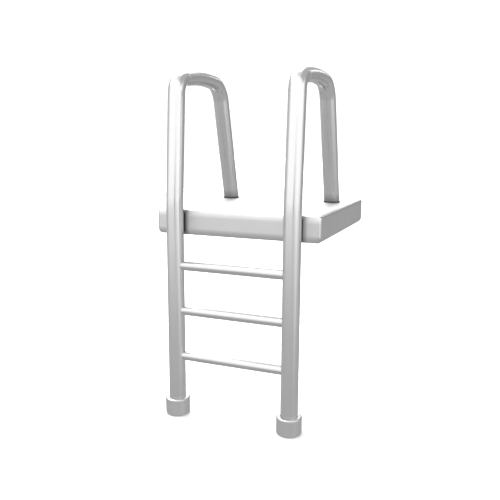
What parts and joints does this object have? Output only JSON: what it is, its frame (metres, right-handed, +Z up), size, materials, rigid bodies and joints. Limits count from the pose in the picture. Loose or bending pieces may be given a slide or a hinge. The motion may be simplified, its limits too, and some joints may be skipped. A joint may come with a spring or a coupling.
{
  "type": "pool ladder",
  "caption": "Pool ladder with bent tube handrails, round rungs between the front legs, cup feet and a flat sheet metal platform that carries the rear legs.",
  "frame": {"origin": "on the floor, under the middle of the ladder's bounding box; the feet stand on z = 0", "axes": "+Z up, +X across the ladder to the right seen from the pool, +Y from the pool side towards the deck side"},
  "size_m": [0.704, 0.797, 1.4311],
  "materials": {
    "rail_steel": "satin stainless steel tube",
    "rung_steel": "satin stainless steel tube",
    "foot_aluminium": "cast cup, satin",
    "platform_shell": "satin anodised sheet",
    "platform_cover": "satin anodised sheet",
    "frame_aluminium": "mill finish extrusion",
    "socket_steel": "stainless steel, welded",
    "fastener_steel": "stainless steel fastener",
    "fitting_aluminium": "turned",
    "sole_rubber": "grey rubber",
    "seal_rubber": "black rubber",
    "plug_plastic": "grey plastic stopper"
  },
  "bodies": {
    "root": {"cover_screw_1": "fastener_steel", "cover_screw_2": "fastener_steel", "cover_screw_3": "fastener_steel", "cover_screw_4": "fastener_steel", "deck_base_cover": "platform_cover", "deck_shell": "platform_shell", "front_beam": "frame_aluminium", "left_cross_bolt": "fastener_steel", "left_deck_seal": "seal_rubber", "left_foot": "foot_aluminium", "left_foot_screw": "fastener_steel", "left_foot_sole": "sole_rubber", "left_inner_beam": "frame_aluminium", "left_leg_bolt_lower": "fastener_steel", "left_leg_bolt_upper": "fastener_steel", "left_leg_nut_plate": "fastener_steel", "left_leg_pad": "seal_rubber", "left_leg_plug": "plug_plastic", "left_outer_beam": "frame_aluminium", "left_rail": "rail_steel", "left_socket": "socket_steel", "left_socket_bolt_1": "fastener_steel", "left_socket_bolt_2": "fastener_steel", "left_socket_bolt_3": "fastener_steel", "left_socket_bolt_4": "fastener_steel", "lower_rung": "rung_steel", "lower_rung_left_fitting": "fitting_aluminium", "lower_rung_left_screw": "fastener_steel", "lower_rung_right_fitting": "fitting_aluminium", "lower_rung_right_screw": "fastener_steel", "middle_rung": "rung_steel", "middle_rung_left_fitting": "fitting_aluminium", "middle_rung_left_screw": "fastener_steel", "middle_rung_right_fitting": "fitting_aluminium", "middle_rung_right_screw": "fastener_steel", "rear_beam": "frame_aluminium", "right_cross_bolt": "fastener_steel", "right_deck_seal": "seal_rubber", "right_foot": "foot_aluminium", "right_foot_screw": "fastener_steel", "right_foot_sole": "sole_rubber", "right_inner_beam": "frame_aluminium", "right_leg_bolt_lower": "fastener_steel", "right_leg_bolt_upper": "fastener_steel", "right_leg_nut_plate": "fastener_steel", "right_leg_pad": "seal_rubber", "right_leg_plug": "plug_plastic", "right_outer_beam": "frame_aluminium", "right_rail": "rail_steel", "right_socket": "socket_steel", "right_socket_bolt_1": "fastener_steel", "right_socket_bolt_2": "fastener_steel", "right_socket_bolt_3": "fastener_steel", "right_socket_bolt_4": "fastener_steel", "upper_rung": "rung_steel", "upper_rung_left_fitting": "fitting_aluminium", "upper_rung_left_screw": "fastener_steel", "upper_rung_right_fitting": "fitting_aluminium", "upper_rung_right_screw": "fastener_steel"}
  },
  "joints": []
}
